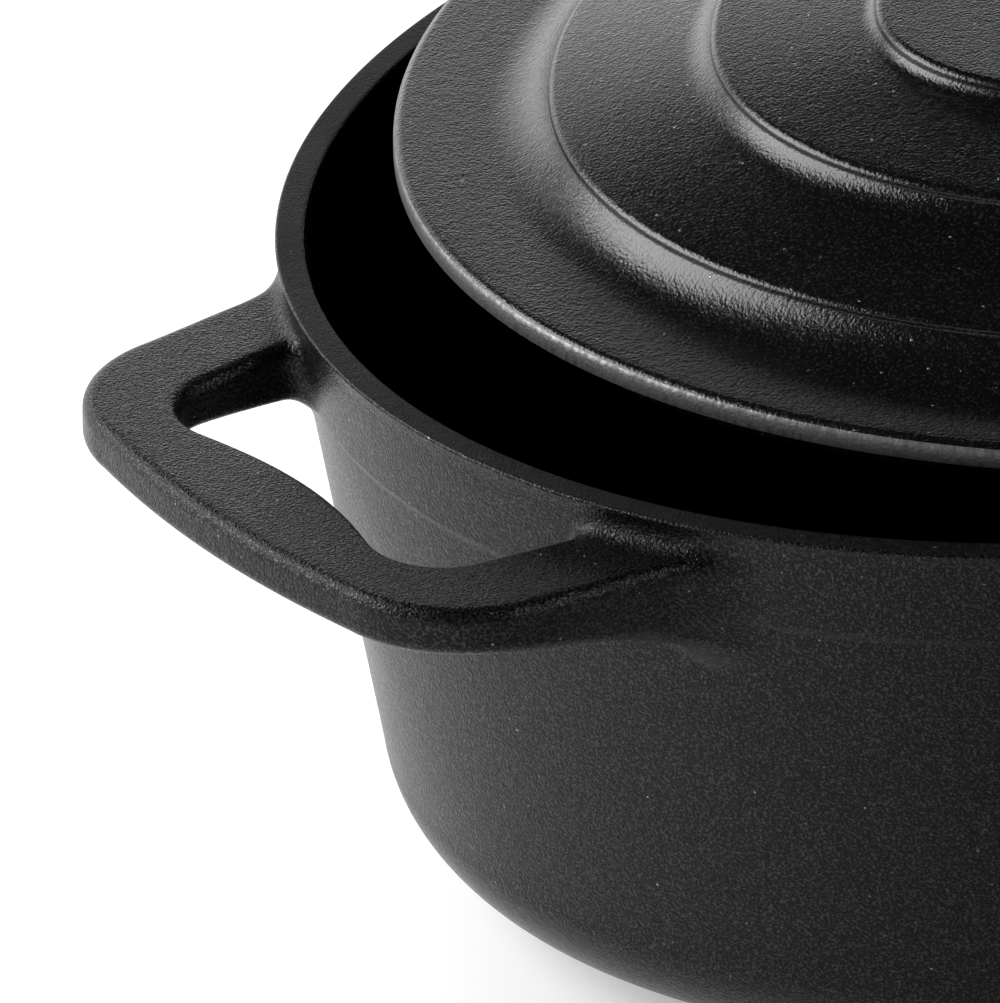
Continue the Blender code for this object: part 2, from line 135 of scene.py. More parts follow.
# The photograph's view
PHOTO_AZIMUTH = math.radians(-35.78)
PHOTO_ELEVATION = math.radians(27.822)
CAMERA_PLACE = (-2.0372856, -2.6327128, 1.8018810)
CAMERA_LENS = 815.577
LEFT_OF_VIEW = (-0.811, 0.585, 0.0)

# Softboxes: name, place, aim, width, height and brightness, where 1 is white
SOFTBOXES = (
    ("low_back_softbox", (-0.649, 0.479, 0.47), (-0.09, 0.01, 0.125), 0.84, 0.58, 8.0),
    ("front_strip", (0.30, -0.68, 0.54), (-0.10, -0.05, 0.10), 0.20, 0.36, 14.0),
    ("back_card", (0.81, 0.90, 0.33), (0.81, 0.0, 0.33), 0.72, 0.66, 1.25),
    ("low_back_card", (0.15, 0.90, 0.32), (0.15, 0.0, 0.32), 0.60, 0.54, 1.4),
)


def spread(first, last, count):
    """Evenly spaced values from first to last, both included."""
    return [first + (last - first) * i / (count - 1) for i in range(count)]


def eased(first, last, share):
    """A value between first and last that leaves and arrives gently."""
    share = min(max(share, 0.0), 1.0)
    return first + (last - first) * share * share * (3.0 - 2.0 * share)


def closed_loft(name, rings, cap_ends=True):
    """A smooth-shaded mesh through rings of equal point count, in millimetres, capped at both ends."""
    count = len(rings[0])
    points = np.array(rings, float).reshape(-1, 3) * MM
    faces = []
    for level in range(len(rings) - 1):
        low, high = level * count, (level + 1) * count
        for i in range(count):
            j = (i + 1) % count
            faces.append((low + i, low + j, high + j, high + i))
    if cap_ends:
        faces.append(tuple(range(count - 1, -1, -1)))
        last = (len(rings) - 1) * count
        faces.append(tuple(range(last, last + count)))
    mesh = bpy.data.meshes.new(name)
    mesh.from_pydata(points.tolist(), [], faces)
    if outward_volume(mesh) < 0.0:
        mesh.flip_normals()
    mesh.shade_smooth()
    return mesh


def outward_volume(mesh):
    """Signed volume, which is negative when the faces point inwards."""
    mesh.calc_loop_triangles()
    corners = np.empty(len(mesh.loop_triangles) * 3, np.int32)
    mesh.loop_triangles.foreach_get("vertices", corners)
    points = np.empty(len(mesh.vertices) * 3)
    mesh.vertices.foreach_get("co", points)
    a, b, c = points.reshape(-1, 3)[corners.reshape(-1, 3)].transpose(1, 0, 2)
    return float(np.einsum("ij,ij->i", a, np.cross(b, c)).sum())


def add_piece(name, mesh, body, node, finish):
    """Puts a piece on its body in place of a CAD node, with its finish."""
    piece = bpy.data.objects.new(name, mesh)
    bpy.context.scene.collection.objects.link(piece)
    mesh.materials.append(finish)
    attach(piece, body)
    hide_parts(node)
    return piece


def angles_round(count):
    """Evenly spaced angles round one full turn."""
    return [2.0 * math.pi * i / count for i in range(count)]


def oval(half_length, half_width, z, turns, place=(0.0, 0.0, 0.0)):
    """A level ring of points, at this height over a place."""
    return [(place[0] + half_length * math.cos(angle), place[1] + half_width * math.sin(angle), place[2] + z)
            for angle in angles_round(turns)]


# The pot

def wall_inset(z):
    """How far the wall's outside lies within the rim's outline, with its draft and the band's step."""
    depth = POT_HEIGHT - z
    return WALL_DRAFT * depth + eased(0.0, BAND_STEP, (depth - BAND_DEPTH) / BAND_STEP_HEIGHT)


def cavity_inset(z):
    """How far the wall's inside lies within the rim's outline."""
    return RIM_THICKNESS + WALL_DRAFT * (POT_HEIGHT - z)


def rounded_base(inset_at_wall, reach, floor_z, count):
    """(inset, z) from the flat of the base up round its corner to the wall."""
    height = BASE_ROUND_HEIGHT - floor_z
    lean = 0.5 * WALL_DRAFT * height
    points = []
    for angle in spread(math.pi / 2.0, 0.0, count):
        inset = inset_at_wall + lean * math.sin(angle) + (reach - lean) * (1.0 - math.cos(angle))
        points.append((inset, BASE_ROUND_HEIGHT - height * math.sin(angle)))
    return points


def pot_profile():
    """(inset, z) from the underside, up the outside, over the rim and down to the inner floor."""
    outer_foot = wall_inset(BASE_ROUND_HEIGHT)
    inner_foot = cavity_inset(BASE_ROUND_HEIGHT)
    band_edge = POT_HEIGHT - BAND_DEPTH
    outside = [(outer_foot + BASE_ROUND_REACH + 2.0, 0.0)]
    outside += rounded_base(outer_foot, BASE_ROUND_REACH, 0.0, 24)
    heights = spread(BASE_ROUND_HEIGHT, band_edge - BAND_STEP_HEIGHT - 0.4, 14)[1:]
    heights += spread(band_edge - BAND_STEP_HEIGHT, band_edge, 7)
    heights += spread(band_edge + 0.4, POT_HEIGHT - RIM_EDGE_RADIUS - 0.3, 8)
    outside += [(wall_inset(z), z) for z in heights]
    rim = []
    for angle in spread(0.0, math.pi / 2.0, 5):
        rise = POT_HEIGHT - RIM_EDGE_RADIUS * (1.0 - math.sin(angle))
        rim.append((RIM_EDGE_RADIUS * (1.0 - math.cos(angle)), rise))
    rim += [(share * RIM_THICKNESS, POT_HEIGHT) for share in (0.2, 0.5, 0.8)]
    for angle in spread(math.pi / 2.0, 0.0, 5):
        rise = POT_HEIGHT - RIM_EDGE_RADIUS * (1.0 - math.sin(angle))
        rim.append((RIM_THICKNESS - RIM_EDGE_RADIUS * (1.0 - math.cos(angle)), rise))
    inner_reach = BASE_ROUND_REACH - (inner_foot - outer_foot)
    inside = [(inner_foot + inner_reach + 2.0, FLOOR_THICKNESS)]
    inside += rounded_base(inner_foot, inner_reach, FLOOR_THICKNESS, 18)
    heights = spread(BASE_ROUND_HEIGHT, POT_HEIGHT - RIM_EDGE_RADIUS, 8)[1:-1]
    inside += [(cavity_inset(z), z) for z in heights]
    return outside + rim + inside[::-1]


def make_bowl():
    """The pot without its handles."""
    rings = [oval(RIM_HALF_LENGTH - inset, RIM_HALF_WIDTH - inset, z, POT_TURNS)
             for inset, z in pot_profile()]
    return closed_loft("bowl", rings)


def wall_point(turn, stand_off, z):
    """A point this far outside the pot's wall, at an angle parameter of its oval."""
    inset = wall_inset(z) - stand_off
    return Vector(((RIM_HALF_LENGTH - inset) * math.cos(turn),
                   (RIM_HALF_WIDTH - inset) * math.sin(turn), z))


def grip_edge(outline):
    """One side of the loop from above, from the X axis round the corner: points, and the arm's line."""
    reach = RIM_HALF_LENGTH + outline["front"]
    corner_x = RIM_HALF_LENGTH + outline["corner"]
    corner_y = outline["half_breadth"]
    radius = outline["radius"]

    def front(y):
        return Vector((reach + (corner_x - reach) * (y / corner_y) ** 2, y))

    arm = Vector((-math.cos(outline["splay"]), math.sin(outline["splay"])))
    start_y = corner_y - radius
    along = (front(start_y + 0.1) - front(start_y)).normalized()
    gap = Vector((corner_x, corner_y)) - front(start_y)
    reach_to_corner = (gap.x * arm.y - gap.y * arm.x) / (along.x * arm.y - along.y * arm.x)
    apex = front(start_y) + along * reach_to_corner
    turn = math.acos(max(-1.0, min(1.0, along.dot(arm))))
    tangent = radius * math.tan(turn / 2.0)
    first = apex - along * tangent
    centre = first + Vector((-along.y, along.x)) * radius
    points = [front(y) for y in spread(0.0, first.y, 26)[:-1]]
    start = first - centre
    for angle in spread(0.0, turn, 36):
        cos, sin = math.cos(angle), math.sin(angle)
        points.append(centre + Vector((start.x * cos - start.y * sin, start.x * sin + start.y * cos)))
    return points, (points[-1], arm)


def turn_on_line(line, stand_off, z):
    """The oval parameter at which an arm's line meets the surface that stands this far off the wall."""
    point, along = line
    low, high = 0.0, math.pi / 2.0
    for _ in range(40):
        middle = (low + high) / 2.0
        here = wall_point(middle, stand_off, z).to_2d() - point
        if along.x * here.y - along.y * here.x < 0.0:
            high = middle
        else:
            low = middle
    return (low + high) / 2.0


def flare(radius, stand_off):
    """How much a fillet of this radius widens the arm at a distance from the wall."""
    if stand_off >= radius:
        return 0.0
    return radius - math.sqrt(max(radius * radius - (radius - stand_off) ** 2, 0.0))


def underside(outer_x, inner_x):
    """Heights of the loop's bottom at its outer and inner edge, lower towards the wall."""
    level = POT_HEIGHT - HANDLE_DROP - HANDLE_THICKNESS
    lows = []
    for outline, x in ((OUTER_OUTLINE, outer_x), (INNER_OUTLINE, inner_x)):
        corner_x = RIM_HALF_LENGTH + outline["corner"]
        share = max(corner_x - x, 0.0) / outline["run"]
        lows.append(level - outline["drop"] * share ** UNDERSIDE_POWER)
    return lows


def section_shape(width, top, lows, flares=(0.0, 0.0, 0.0, 0.0)):
    """(across, z) round an arm, from the top of its outer edge down and round to the inner top.

    flares widen it at its outer side, top, inner side and bottom, and its corners grow with them.
    """
    outer, upper, inner, lower = flares
    outer_low, inner_low = lows
    above, below = HANDLE_TOP_RADIUS, HANDLE_BOTTOM_RADIUS
    corners = (
        (width - above, top - above, above, outer, upper, 90.0),
        (width - below, outer_low + below, below, outer, lower, 0.0),
        (below, inner_low + below, below, inner, lower, -90.0),
        (above, top - above, above, inner, upper, -180.0),
    )
    shape = []
    for across, z, radius, side, rise, start in corners:
        for angle in spread(start, start - 90.0, CORNER_POINTS):
            turn = math.radians(angle)
            shape.append((across + (radius + side) * math.cos(turn),
                          z + (radius + rise) * math.sin(turn)))
    flats = []
    for k, point in enumerate(shape):
        flats.append(point)
        if k % CORNER_POINTS == CORNER_POINTS - 1:
            following = shape[(k + 1) % len(shape)]
            for share in spread(0.0, 1.0, FLAT_POINTS)[1:-1]:
                flats.append((point[0] + (following[0] - point[0]) * share,
                              point[1] + (following[1] - point[1]) * share))
    return flats


def straight_section(outer, inner):
    """A section of the loop between a point on its outer outline and one on its inner."""
    across = outer - inner
    along = across.normalized()
    ring = []
    for reach, z in section_shape(across.length, POT_HEIGHT - HANDLE_DROP, underside(outer.x, inner.x)):
        place = inner + along * reach
        ring.append((place.x, place.y, z))
    return ring


def root_section(outer_line, inner_line, stand_off, spill=0.0):
    """A section of the arm that follows the wall, widened all round by the fillets."""
    off = max(stand_off, 0.0)
    level = POT_HEIGHT - HANDLE_DROP - HANDLE_THICKNESS / 2.0
    outer_turn = turn_on_line(outer_line, off, level)
    inner_turn = turn_on_line(inner_line, off, level)
    outer_place = wall_point(outer_turn, off, level)
    inner_place = wall_point(inner_turn, off, level)
    width = (outer_place - inner_place).length
    per_turn = width / (outer_turn - inner_turn)
    flares = [flare(radius, off) + spill
              for radius in (ROOT_OUTER_RADIUS, ROOT_TOP_RADIUS, ROOT_INNER_RADIUS, ROOT_BOTTOM_RADIUS)]
    ring = []
    lows = underside(outer_place.x, inner_place.x)
    for reach, z in section_shape(width, POT_HEIGHT - HANDLE_DROP, lows, flares):
        ring.append(tuple(wall_point(inner_turn + reach / per_turn, stand_off, z)))
    return ring


def make_handle():
    """One loop on the +X side, from inside the wall, along an arm, round the grip and back."""
    outer, outer_line = grip_edge(OUTER_OUTLINE)
    inner, inner_line = grip_edge(INNER_OUTLINE)
    half = [straight_section(o, i) for o, i in zip(outer, inner)]
    level = POT_HEIGHT - HANDLE_DROP - HANDLE_THICKNESS / 2.0
    clear = ROOT_OUTER_RADIUS
    outer_end = wall_point(turn_on_line(outer_line, clear, level), clear, level).to_2d()
    inner_end = wall_point(turn_on_line(inner_line, clear, level), clear, level).to_2d()
    root = root_section(outer_line, inner_line, clear)
    lean = np.array(root) - np.array(straight_section(outer_end, inner_end))
    for share in spread(0.0, 1.0, 22)[1:-1]:
        ring = straight_section(outer[-1].lerp(outer_end, share), inner[-1].lerp(inner_end, share))
        half.append([tuple(point) for point in np.array(ring) + eased(0.0, 1.0, share) * lean])
    for share in spread(1.0, 0.0, 26):
        half.append(root_section(outer_line, inner_line, clear * share * share))
    half.append(root_section(outer_line, inner_line, -0.12, 1.6))
    half.append(root_section(outer_line, inner_line, -1.5, 1.6))
    other_half = [[(x, -y, z) for x, y, z in ring] for ring in half[1:]]
    return closed_loft("loop_handle", half[::-1] + other_half)


def joined(name, meshes):
    """One mesh of several shells."""
    points, faces, base = [], [], 0
    for mesh in meshes:
        points += [tuple(v.co) for v in mesh.vertices]
        faces += [tuple(base + i for i in face.vertices) for face in mesh.polygons]
        base = len(points)
    made = bpy.data.meshes.new(name)
    made.from_pydata(points, [], faces)
    made.shade_smooth()
    return made


def make_pot_mesh():
    """The pot's casting: the bowl and its two loops, alike but turned round."""
    right = make_handle()
    left = right.copy()
    left.transform(Matrix.Rotation(math.pi, 4, "Z"))
    return joined("cast_pot", (make_bowl(), right, left))


# The lid

def step_points(step, slope_after):
    """(inset, height) up one step of the lid: a hollow flank, a short riser, then a small rounded shoulder.

    The riser's height comes out of the hollow, so that the terraces between the steps keep their slopes.
    """
    foot = math.radians(step["slope"])
    half_riser = RISER_RADIUS * (math.cos(STEP_STEEPEST) - math.cos(RISER_STEEPEST))
    hollow = step["hollow"] - half_riser / (math.cos(foot) - math.cos(STEP_STEEPEST))
    runs = ((hollow, foot, STEP_STEEPEST, 18),
            (RISER_RADIUS, STEP_STEEPEST, RISER_STEEPEST, 6),
            (RISER_RADIUS, RISER_STEEPEST, STEP_STEEPEST, 6),
            (STEP_SHOULDER_RADIUS, STEP_STEEPEST, math.radians(slope_after), 12))
    points = [(0.0, 0.0)]
    for radius, first, last, count in runs:
        start = points[-1]
        for angle in spread(first, last, count)[1:]:
            points.append((start[0] + radius * abs(math.sin(angle) - math.sin(first)),
                           start[1] + radius * abs(math.cos(angle) - math.cos(first))))
        # A step's place in STEPS is the middle of its riser
        if last == RISER_STEEPEST:
            middle = points[-1]
    return [(step["inset"] + x - middle[0], step["height"] + z - middle[1]) for x, z in points]


def under_step_points(above, step, slope_after):
    """(inset, height) under a step, one thickness below both of its ends."""
    ends = []
    for (inset, height), slope in ((above[0], step["slope"]), (above[-1], slope_after)):
        lean = math.radians(slope)
        ends.append((inset + LID_THICKNESS * math.sin(lean), height - LID_THICKNESS * math.cos(lean)))
    (low_inset, low), (high_inset, high) = ends
    return [(low_inset + (high_inset - low_inset) * share, eased(low, high, share))
            for share in spread(0.0, 1.0, 9)]


def lid_oval(inset, z):
    """A ring of the lid. The rings come in faster at the sides, so they aren't parallel to its edge."""
    return oval(RIM_HALF_LENGTH + LID_END_OVERHANG - inset,
                RIM_HALF_WIDTH + LID_SIDE_OVERHANG - LID_SIDE_RATE * inset, z, LID_TURNS, LID_PLACE)


def lip_oval(inset, z):
    """A ring of the lip, which would go down into the pot's mouth."""
    mouth = RIM_THICKNESS + LIP_SIDE_CLEARANCE + inset
    return oval(RIM_HALF_LENGTH - mouth, RIM_HALF_WIDTH - mouth, z, LID_TURNS, LID_PLACE)


def filled_in(points, gap):
    """The same run of points with more of them between any two that lie over a gap apart."""
    made = [points[0]]
    for before, after in zip(points, points[1:]):
        count = max(1, math.ceil(math.dist(before, after) / gap))
        for i in range(1, count + 1):
            made.append((before[0] + (after[0] - before[0]) * i / count,
                         before[1] + (after[1] - before[1]) * i / count))
    return made


def screw_hole_ring(z):
    """A ring of the hole for the knob's screw."""
    return oval(SCREW_HOLE_RADIUS, SCREW_HOLE_RADIUS, z, LID_TURNS, LID_PLACE)


def make_lid_mesh():
    """The lid from its screw hole, out over the steps, round the edge and lip, and back underneath."""
    over, under = [(0.0, LID_EDGE_HEIGHT)], []
    for step, slope_after in zip(STEPS, (STEPS[1]["slope"], STEPS[2]["slope"], CENTRE_SLOPE)):
        above = step_points(step, slope_after)
        over += above
        under += under_step_points(above, step, slope_after)
    over = over[1:] + [(LID_CENTRE_INSET, LID_CENTRE_HEIGHT)]
    under.append((LID_CENTRE_INSET, LID_CENTRE_HEIGHT - LID_CENTRE_THICKNESS))
    edge = [(LID_EDGE_RADIUS * (1.0 - math.cos(angle)),
             LID_EDGE_HEIGHT - LID_EDGE_RADIUS * (1.0 - math.sin(angle)))
            for angle in spread(math.pi / 2.0, 0.0, 8)]
    edge += [(0.0, RIM_EDGE_RADIUS), (RIM_EDGE_RADIUS, 0.0)]
    lip = ((0.0, 0.0), (LIP_DRAFT, RIM_EDGE_RADIUS - LIP_DEPTH), (LIP_DRAFT + RIM_EDGE_RADIUS, -LIP_DEPTH),
           (LIP_WIDTH - LIP_DRAFT - RIM_EDGE_RADIUS, -LIP_DEPTH),
           (LIP_WIDTH - LIP_DRAFT, RIM_EDGE_RADIUS - LIP_DEPTH), (LIP_WIDTH, 0.0))
    rings = [screw_hole_ring(LID_CENTRE_HEIGHT)]
    rings += [lid_oval(inset, z) for inset, z in filled_in(over[::-1] + edge, 2.5)]
    rings += [lip_oval(inset, z) for inset, z in filled_in(lip, 1.5)]
    rings += [lid_oval(inset, z) for inset, z in filled_in(under, 4.0)]
    rings.append(screw_hole_ring(LID_CENTRE_HEIGHT - LID_CENTRE_THICKNESS))
    rings.append(rings[0])
    return closed_loft("cast_lid", rings, cap_ends=False)


# The knob and its fixing

def turned(name, profile, closed=False):
    """A turned piece on the lid's axis from (radius, z) points, in millimetres over the lid's underside."""
    rings = []
    for radius, z in profile + ([profile[0]] if closed else []):
        radius = max(radius, POINT_RADIUS)
        rings.append(oval(radius, radius, z, KNOB_TURNS, LID_PLACE))
    mesh = closed_loft(name, rings, cap_ends=not closed)
    mesh.set_sharp_from_angle(angle=math.radians(40.0))
    return mesh


def make_knob_mesh():
    """The knob: a shallow dome over a drawn-in neck and a small foot, bored for its screw."""
    foot = LID_CENTRE_HEIGHT + SEAT_GAP
    top = foot + KNOB_HEIGHT
    head_low = top - KNOB_HEAD_DEPTH
    dome_radius = (KNOB_HEAD_RADIUS ** 2 + (KNOB_HEAD_DEPTH * 0.5) ** 2) / KNOB_HEAD_DEPTH
    dome_spread = math.asin(KNOB_HEAD_RADIUS / dome_radius)
    profile = [(dome_radius * math.sin(a), top - dome_radius * (1.0 - math.cos(a)))
               for a in spread(0.0, dome_spread, 16)]
    for share in spread(0.0, 1.0, 14)[1:]:
        profile.append((KNOB_HEAD_RADIUS - (KNOB_HEAD_RADIUS - KNOB_NECK_RADIUS) * share ** 2,
                        (top - 0.5 * KNOB_HEAD_DEPTH) - 0.5 * KNOB_HEAD_DEPTH * share ** 0.6))
    waist_low = foot + KNOB_FOOT_HEIGHT
    for share in spread(0.0, 1.0, 14)[1:]:
        profile.append((eased(KNOB_NECK_RADIUS, KNOB_FOOT_RADIUS, share ** 3),
                        head_low + (waist_low - head_low) * share))
    profile += [(KNOB_FOOT_RADIUS, foot + 0.5), (KNOB_FOOT_RADIUS - 0.5, foot),
                (SCREW_HOLE_RADIUS, foot), (SCREW_HOLE_RADIUS, foot + KNOB_BORE_DEPTH),
                (0.0, foot + KNOB_BORE_DEPTH + DRILL_POINT)]
    return turned("turned_knob", profile)


def make_washer_mesh():
    """The washer under the lid, with its edges just broken."""
    top = LID_CENTRE_HEIGHT - LID_CENTRE_THICKNESS - SEAT_GAP
    low = top - WASHER_THICKNESS
    flat = WASHER_RADIUS - WASHER_BEVEL
    profile = [(SCREW_HOLE_RADIUS, top), (flat, top), (WASHER_RADIUS, top - WASHER_BEVEL),
               (WASHER_RADIUS, low + WASHER_BEVEL), (flat, low), (SCREW_HOLE_RADIUS, low)]
    return turned("plain_washer", profile, closed=True)


def make_screw_mesh():
    """A cap screw from below, with a hexagon socket in its domed head."""
    head_top = LID_CENTRE_HEIGHT - LID_CENTRE_THICKNESS - WASHER_THICKNESS - 2.0 * SEAT_GAP
    head_low = head_top - SCREW_HEAD_HEIGHT
    shank_top = LID_CENTRE_HEIGHT + SEAT_GAP + SHANK_RISE
    profile = [(0.0, shank_top), (SCREW_SHANK_RADIUS - SHANK_CHAMFER, shank_top),
               (SCREW_SHANK_RADIUS, shank_top - SHANK_CHAMFER),
               (SCREW_SHANK_RADIUS, head_top), (SCREW_HEAD_RADIUS, head_top)]
    for angle in spread(0.0, math.pi / 2.0, 9):
        profile.append((SCREW_HEAD_RADIUS * (0.6 + 0.4 * math.cos(angle)),
                        head_top - SCREW_HEAD_HEIGHT * (0.35 + 0.65 * math.sin(angle))))
    angles = angles_round(KNOB_TURNS)
    rings = [([radius] * KNOB_TURNS, z) for radius, z in profile]
    # A hexagon's side is nearest the axis in its middle, a twelfth of a turn from each corner
    half_side = math.pi / 6.0
    socket = []
    for angle in angles:
        from_middle = (angle + half_side) % (2.0 * half_side) - half_side
        socket.append(SCREW_SOCKET_RADIUS * math.cos(half_side) / math.cos(from_middle))
    socket_end = head_low + SCREW_SOCKET_DEPTH
    rings += [(socket, head_low), (socket, socket_end), ([0.0] * KNOB_TURNS, socket_end + SOCKET_POINT)]
    placed = []
    for radii, z in rings:
        placed.append([(LID_PLACE[0] + max(radius, POINT_RADIUS) * math.cos(angle),
                        LID_PLACE[1] + max(radius, POINT_RADIUS) * math.sin(angle), LID_PLACE[2] + z)
                       for radius, angle in zip(radii, angles)])
    mesh = closed_loft("cap_screw", placed)
    mesh.set_sharp_from_angle(angle=math.radians(35.0))
    return mesh


# Finishes

# The iron's patterns, in millimetres
GRAINS_IN_CLUMP = 3.4
OIL_PATCH_MM = 24.0
SPECK_CELL_MM = 2.9
SPECK_HEIGHT_MM = 0.22
GRINDING_LINE_MM = 0.9

TIP_SPAN = 0.17
OIL_PATCH_ROUGHNESS = 0.03
GROUND_ROUGHNESS = 0.3
BARE_IRON = "#8c8c8c"
WHITE = (1.0, 1.0, 1.0, 1.0)


def linear(hex_colour):
    """An sRGB hex colour as linear RGBA."""
    channels = [int(hex_colour[i:i + 2], 16) / 255.0 for i in (1, 3, 5)]
    return (*[c / 12.92 if c <= 0.04045 else ((c + 0.055) / 1.055) ** 2.4 for c in channels], 1.0)


def add_node(tree, kind, inputs=None, stops=(), **settings):
    """Adds a node with its settings.

    An input takes a value or another node's output, and stops fill a colour ramp.
    """
    made = tree.nodes.new(kind)
    for key, value in settings.items():
        setattr(made, key, value)
    for key, value in (inputs or {}).items():
        if isinstance(value, bpy.types.NodeSocket):
            tree.links.new(value, made.inputs[key])
        else:
            made.inputs[key].default_value = value
    for index, (place, grey) in enumerate(stops):
        elements = made.color_ramp.elements
        element = elements[index] if index < len(elements) else elements.new(place)
        element.position = place
        element.color = grey if isinstance(grey, tuple) else (grey, grey, grey, 1.0)
    return made


def per_metre(size_mm):
    """Texture scale that makes a noise or cell about this big."""
    return 1000.0 / size_mm


def new_finish(name):
    """A material, its tree and shader, and where a point lies on the piece."""
    material = bpy.data.materials.new(name)
    material.use_nodes = True
    tree = material.node_tree
    place = add_node(tree, "ShaderNodeTexCoord").outputs["Object"]
    return material, tree, tree.nodes["Principled BSDF"], place


def sand_cast_iron(name, colour, tip_colour, rough, ior, grain_mm, grain_depth_mm, tips_from, ground,
                   ground_colour):
    """Sand-cast iron with oil baked on until it is black: satin, with the mould's grain in paler tips.

    tips_from is the height of the grain, from 0 to 1, at which its tips begin to show through the oil. ground
    gives the heights in millimetres between which the casting was ground, which left short upright lines.
    """
    material, tree, shader, place = new_finish(name)
    # The sand's own grain, about 0.3 mm in such a mould, is drawn at about 0.5 mm so that it shows
    grain = add_node(tree, "ShaderNodeTexNoise",
                     {"Vector": place, "Scale": per_metre(grain_mm), "Detail": 2.0,
                      "Roughness": 0.55}).outputs["Fac"]
    clumps = add_node(tree, "ShaderNodeTexNoise",
                      {"Vector": place, "Scale": per_metre(grain_mm * GRAINS_IN_CLUMP),
                       "Detail": 2.0}).outputs["Fac"]
    waves = add_node(tree, "ShaderNodeTexNoise",
                     {"Vector": place, "Scale": per_metre(OIL_PATCH_MM), "Detail": 2.0}).outputs["Fac"]

    # Here and there a grain stands so proud that its oil has worn off
    cells = add_node(tree, "ShaderNodeTexVoronoi", {"Vector": place, "Scale": per_metre(SPECK_CELL_MM)})
    speck = add_node(tree, "ShaderNodeValToRGB", {"Fac": cells.outputs["Distance"]},
                     ((0.05, 1.0), (0.10, 0.0))).outputs["Color"]
    chance = add_node(tree, "ShaderNodeSeparateColor", {"Color": cells.outputs["Color"]}).outputs["Red"]
    chosen = add_node(tree, "ShaderNodeValToRGB", {"Fac": chance},
                      ((0.55, 0.0), (0.95, 1.0))).outputs["Color"]
    bare = add_node(tree, "ShaderNodeMath", {0: speck, 1: chosen}, operation="MULTIPLY").outputs[0]
    tips = add_node(tree, "ShaderNodeValToRGB", {"Fac": grain},
                    ((tips_from, 0.0), (tips_from + TIP_SPAN, 1.0))).outputs["Color"]
    tips = add_node(tree, "ShaderNodeMath", {0: tips, 1: bare}, operation="MAXIMUM").outputs[0]

    # The ground part, between two heights
    height = add_node(tree, "ShaderNodeSeparateXYZ", {"Vector": place}).outputs["Z"]
    above = add_node(tree, "ShaderNodeMath", {0: height, 1: ground[0] * MM}, operation="GREATER_THAN")
    below = add_node(tree, "ShaderNodeMath", {0: height, 1: ground[1] * MM}, operation="LESS_THAN")
    edge = add_node(tree, "ShaderNodeMath", {0: above.outputs[0], 1: below.outputs[0]},
                    operation="MULTIPLY").outputs[0]
    upright = add_node(tree, "ShaderNodeMapping", {"Vector": place, "Scale": (1.0, 1.0, 0.07)})
    lines = add_node(tree, "ShaderNodeTexNoise",
                     {"Vector": upright.outputs["Vector"], "Scale": per_metre(GRINDING_LINE_MM),
                      "Detail": 2.0}).outputs["Fac"]
    cut = add_node(tree, "ShaderNodeValToRGB", {"Fac": lines}, ((0.38, 0.5), (0.62, 1.0))).outputs["Color"]
    scored = add_node(tree, "ShaderNodeMath", {0: cut, 1: edge}, operation="MULTIPLY").outputs[0]

    tone = linear(colour)
    for amount, over in ((tips, tip_colour), (bare, BARE_IRON), (scored, ground_colour)):
        tone = add_node(tree, "ShaderNodeMix", {"Factor": amount, 6: tone, 7: linear(over)},
                        data_type="RGBA").outputs[2]
    tree.links.new(tone, shader.inputs["Base Color"])
    metal = add_node(tree, "ShaderNodeMath", {0: tips, 1: scored}, operation="MAXIMUM").outputs[0]
    tree.links.new(metal, shader.inputs["Metallic"])
    satin = add_node(tree, "ShaderNodeMapRange",
                     {"Value": waves, "From Min": 0.3, "From Max": 0.7,
                      "To Min": rough - OIL_PATCH_ROUGHNESS, "To Max": rough + OIL_PATCH_ROUGHNESS})
    satin = add_node(tree, "ShaderNodeMath", {0: edge, 1: GROUND_ROUGHNESS, 2: satin.outputs["Result"]},
                     operation="MULTIPLY_ADD").outputs[0]
    tree.links.new(satin, shader.inputs["Roughness"])

    relief = None
    for level, depth in ((clumps, grain_depth_mm * 0.5), (grain, grain_depth_mm), (bare, SPECK_HEIGHT_MM)):
        inputs = {"Height": level, "Strength": 1.0, "Distance": depth * MM}
        if relief:
            inputs["Normal"] = relief
        relief = add_node(tree, "ShaderNodeBump", inputs).outputs["Normal"]
    tree.links.new(relief, shader.inputs["Normal"])
    shader.inputs["IOR"].default_value = ior
    return material


def turned_metal(name, colour, worn, metallic, rough_low, rough_high, line_mm):
    """Iron or steel turned on a lathe: fine rings round its axis."""
    material, tree, shader, place = new_finish(name)
    grain = add_node(tree, "ShaderNodeTexNoise",
                     {"Vector": place, "Scale": per_metre(0.9), "Detail": 3.0}).outputs["Fac"]
    along = add_node(tree, "ShaderNodeMapping",
                     {"Vector": place, "Scale": (0.05, 0.05, 1.0)}).outputs["Vector"]
    rings = add_node(tree, "ShaderNodeTexNoise",
                     {"Vector": along, "Scale": per_metre(line_mm), "Detail": 2.0}).outputs["Fac"]
    tone = add_node(tree, "ShaderNodeValToRGB", {"Fac": grain},
                    ((0.35, linear(colour)), (0.7, linear(worn))))
    tree.links.new(tone.outputs["Color"], shader.inputs["Base Color"])
    satin = add_node(tree, "ShaderNodeMapRange", {"Value": rings, "To Min": rough_low, "To Max": rough_high})
    tree.links.new(satin.outputs["Result"], shader.inputs["Roughness"])
    bump = add_node(tree, "ShaderNodeBump", {"Height": rings, "Strength": 0.5, "Distance": 0.03 * MM})
    tree.links.new(bump.outputs["Normal"], shader.inputs["Normal"])
    shader.inputs["Metallic"].default_value = metallic
    return material


